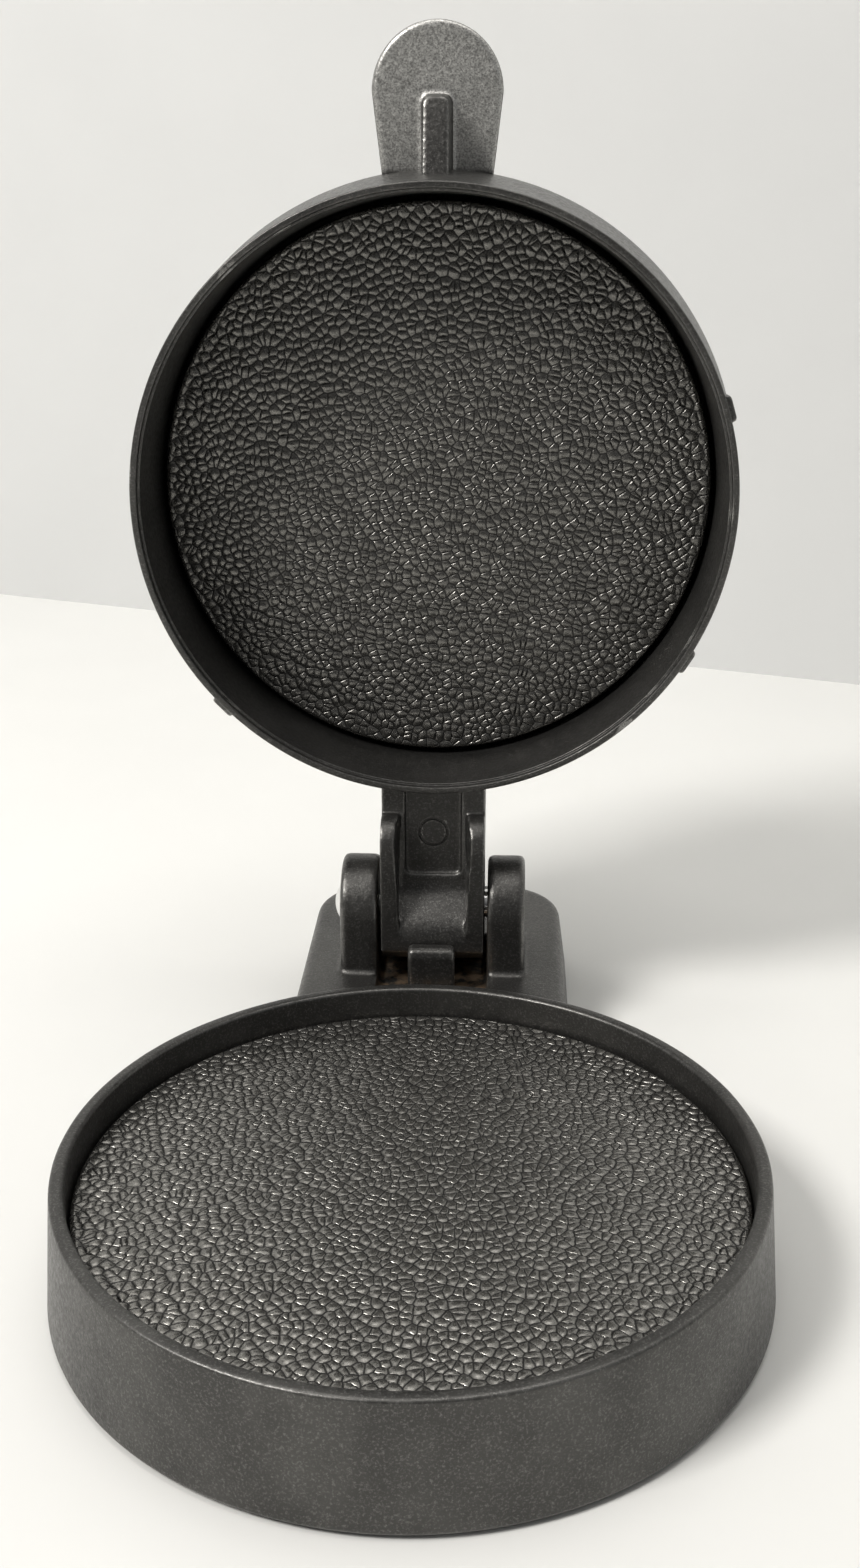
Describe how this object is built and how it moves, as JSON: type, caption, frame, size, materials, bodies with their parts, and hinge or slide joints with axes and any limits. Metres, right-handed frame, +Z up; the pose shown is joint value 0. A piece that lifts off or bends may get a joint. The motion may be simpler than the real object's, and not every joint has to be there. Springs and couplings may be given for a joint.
{
  "type": "hinged burger press",
  "caption": "Hinged cast-aluminium burger press, lid open: round dish and lid with pebbled plates, paddle handle, screw-adjusted upper plate and a thumb-tab ejector.",
  "frame": {"origin": "bottom centre of the whole press on the table, lid open; the dish axis is 42.9 mm in front of it", "axes": "+Z up, +Y from the dish towards the hinge block at the back, +X to the right along the hinge pin for someone facing the open lid"},
  "size_m": [0.1262, 0.2095, 0.2052],
  "materials": {
    "coated_casting": "matte",
    "coated_plate": "satin",
    "pin_steel": "polished",
    "zinc_steel": "satin",
    "foot_rubber": "matte",
    "knob_plastic": "matte"
  },
  "bodies": {
    "base": {"base_casting": "coated_casting", "hinge_pin": "pin_steel", "hinge_pin_ring": "zinc_steel", "lever_pin": "zinc_steel", "foot_front": "foot_rubber", "foot_right": "foot_rubber", "foot_left": "foot_rubber", "foot_rear_left": "foot_rubber", "foot_rear_right": "foot_rubber"},
    "lid": {"lid_casting": "coated_casting"},
    "press": {"press_plate": "coated_plate", "keeper_ring": "zinc_steel", "keeper_screws": "zinc_steel"},
    "adjuster": {"press_screw": "zinc_steel", "adjusting_knob": "knob_plastic", "knob_pin": "zinc_steel"},
    "ejector": {"ejector_lever": "coated_casting"},
    "lift": {"lower_plate": "coated_plate", "plate_stem": "zinc_steel"}
  },
  "joints": [
    {"name": "lid_hinge", "type": "hinge", "parent": "base", "child": "lid", "pos_m": [0, 0.04432, 0.0282], "axis": [1, 0, 0], "range_deg": [0, 91.5]},
    {"name": "press_slide", "type": "slide", "parent": "lid", "child": "press", "axis": [0, -0.9997, 0.0262], "range_m": [-0.003, 0.014]},
    {"name": "knob_turn", "type": "hinge", "parent": "press", "child": "adjuster", "pos_m": [0, 0.08729, 0.11431], "axis": [0, -0.9997, 0.0262], "range_deg": [-361, 1681]},
    {"name": "ejector_rock", "type": "hinge", "parent": "base", "child": "ejector", "pos_m": [0, 0.02512, 0.0056], "axis": [-1, 0, 0], "range_deg": [0, 4.4]},
    {"name": "plate_lift", "type": "slide", "parent": "base", "child": "lift", "axis": [0, 0, 1], "range_m": [0, 0.00552]}
  ],
  "couplings": [
    {"joint": "knob_turn", "follows": "press_slide", "rad_per_m": 2094.4},
    {"joint": "ejector_rock", "follows": "plate_lift", "rad_per_m": 13.889}
  ]
}
